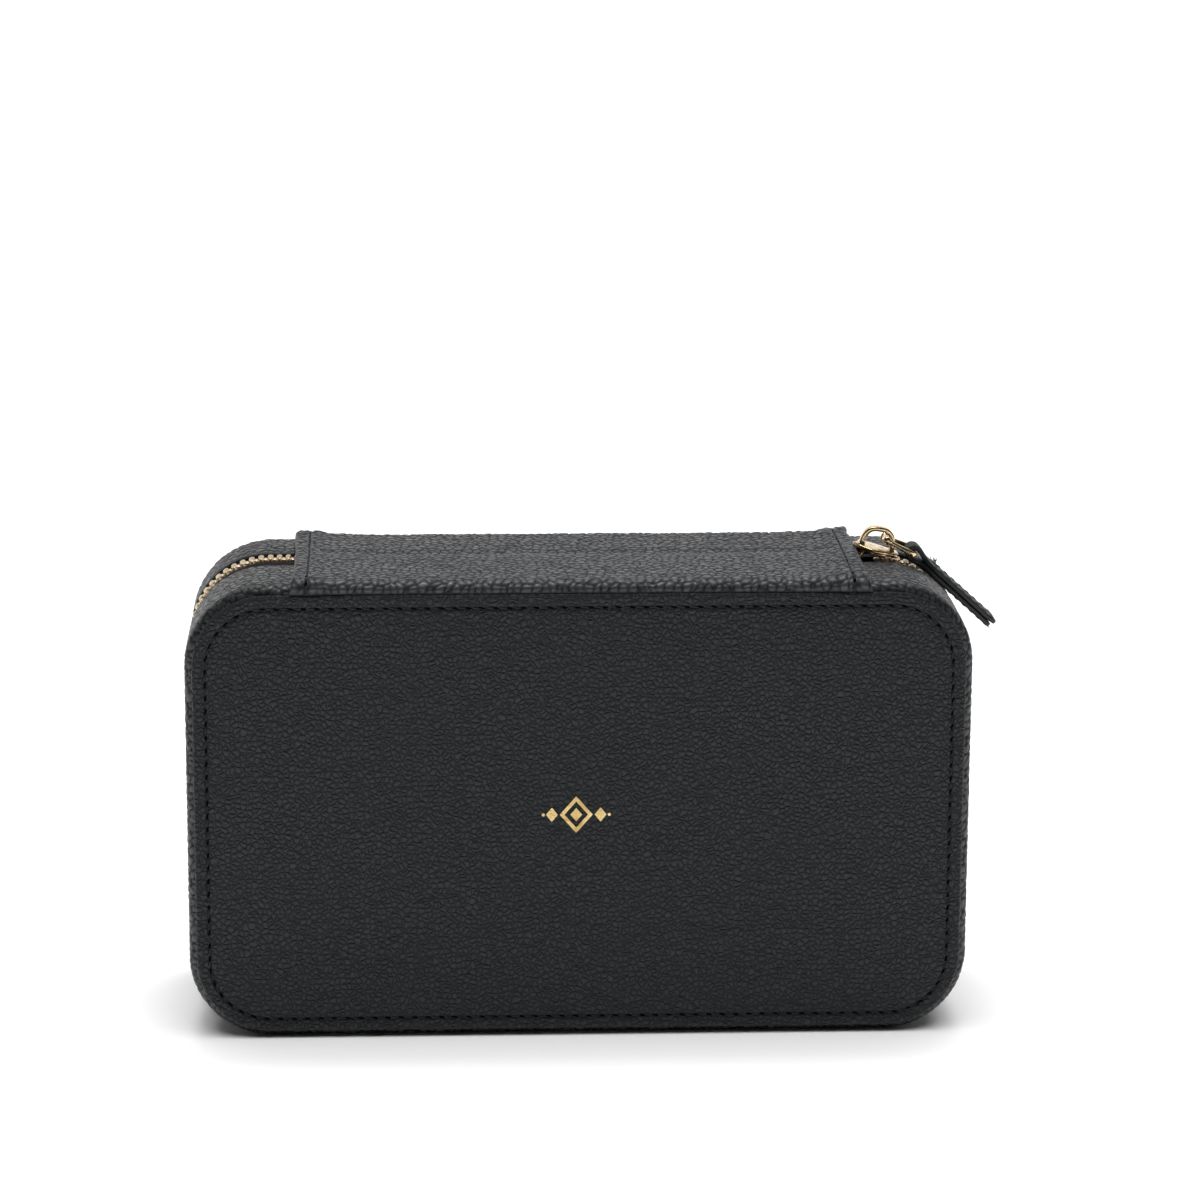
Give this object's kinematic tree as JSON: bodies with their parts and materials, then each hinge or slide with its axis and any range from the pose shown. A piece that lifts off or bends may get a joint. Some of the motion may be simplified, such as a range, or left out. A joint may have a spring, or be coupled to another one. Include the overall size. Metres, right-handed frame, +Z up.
{
  "type": "travel jewellery case",
  "caption": "Zip-around leather jewellery case with a hinged lid, stitched face panels, gold slider with leather puller, ring rolls, dividers, necklace tabs and pocket.",
  "frame": {"origin": "middle of the whole part's box, puller included, on the surface the case stands on", "axes": "+X along the case towards the slider's end, -Y out of the lid's face with the foil motif, +Z up from the long zip side to the hinge side"},
  "size_m": [0.2092, 0.0603, 0.127],
  "materials": {
    "pebbled_leather": "black pebbled leather, satin",
    "face_leather": "black pebbled leather face panel, satin",
    "tab_leather": "black leather puller tab with painted edges",
    "gold_metal": "polished light gold plating",
    "gold_foil": "hot-stamped gold foil",
    "zip_tape": "black woven zip tape",
    "suede": "charcoal suede lining",
    "board": "grey bookbinding board",
    "foam": "thin foam sheet",
    "elastic": "ruched elastic"
  },
  "bodies": {
    "base": {"base_gusset": "pebbled_leather", "base_board": "board", "base_back_foam": "foam", "base_back_panel": "face_leather", "base_rim_board": "board", "base_lining": "suede", "zip_tape_base": "zip_tape", "zip_teeth_base": "gold_metal", "zip_stops_base": "gold_metal", "spine_base_half": "pebbled_leather", "hinge_lining_base_half": "suede", "ring_rolls": "suede", "divider_long": "suede", "divider_cross": "suede", "divider_short": "suede"},
    "lid": {"lid_gusset": "pebbled_leather", "lid_board": "board", "lid_face_foam": "foam", "lid_face_panel": "face_leather", "lid_foil_motif": "gold_foil", "lid_rim_board": "board", "lid_lining": "suede", "zip_tape_lid": "zip_tape", "zip_teeth_lid": "gold_metal", "zip_stops_lid": "gold_metal", "spine_lid_half": "pebbled_leather", "hinge_lining_lid_half": "suede", "necklace_strip": "suede", "necklace_tab_roots": "suede", "snap_studs": "gold_metal", "necklace_pocket": "suede", "pocket_elastic": "elastic"},
    "slider": {"slider_body": "gold_metal", "slider_bridge": "gold_metal"},
    "puller_link": {"puller_link": "gold_metal"},
    "puller_tab": {"puller_tab": "tab_leather"},
    "necklace_tab_1": {"necklace_tab_1": "suede", "snap_cap_1": "gold_metal"},
    "necklace_tab_2": {"necklace_tab_2": "suede", "snap_cap_2": "gold_metal"},
    "necklace_tab_3": {"necklace_tab_3": "suede", "snap_cap_3": "gold_metal"},
    "necklace_tab_4": {"necklace_tab_4": "suede", "snap_cap_4": "gold_metal"}
  },
  "joints": [
    {"name": "lid_hinge", "type": "hinge", "parent": "base", "child": "lid", "pos_m": [-0.00459, 0.00306, 0.1212], "axis": [-1, 0, 0], "range_deg": [0, 180], "deforming": ["zip_tape_lid", "zip_teeth_lid"]},
    {"name": "zip_slider_travel", "type": "hinge", "parent": "base", "child": "slider", "pos_m": [0.07441, 0.00306, 0.098], "axis": [0, 1, 0], "range_deg": [0, 44], "deforming": ["zip_tape_base", "zip_teeth_base"]},
    {"name": "puller_link_swing", "type": "hinge", "parent": "slider", "child": "puller_link", "pos_m": [0.07601, 0.00306, 0.1235], "axis": [0, -1, 0], "range_deg": [0, 110]},
    {"name": "puller_tab_swing", "type": "hinge", "parent": "puller_link", "child": "puller_tab", "pos_m": [0.08301, 0.00306, 0.12], "axis": [0, -1, 0], "range_deg": [0, 60]},
    {"name": "necklace_tab_1_snap", "type": "hinge", "parent": "lid", "child": "necklace_tab_1", "pos_m": [-0.05859, -0.02254, 0.104], "axis": [1, 0, 0], "range_deg": [0, 100]},
    {"name": "necklace_tab_2_snap", "type": "hinge", "parent": "lid", "child": "necklace_tab_2", "pos_m": [-0.02259, -0.02254, 0.104], "axis": [1, 0, 0], "range_deg": [0, 100]},
    {"name": "necklace_tab_3_snap", "type": "hinge", "parent": "lid", "child": "necklace_tab_3", "pos_m": [0.01341, -0.02254, 0.104], "axis": [1, 0, 0], "range_deg": [0, 100]},
    {"name": "necklace_tab_4_snap", "type": "hinge", "parent": "lid", "child": "necklace_tab_4", "pos_m": [0.04941, -0.02254, 0.104], "axis": [1, 0, 0], "range_deg": [0, 100]}
  ]
}
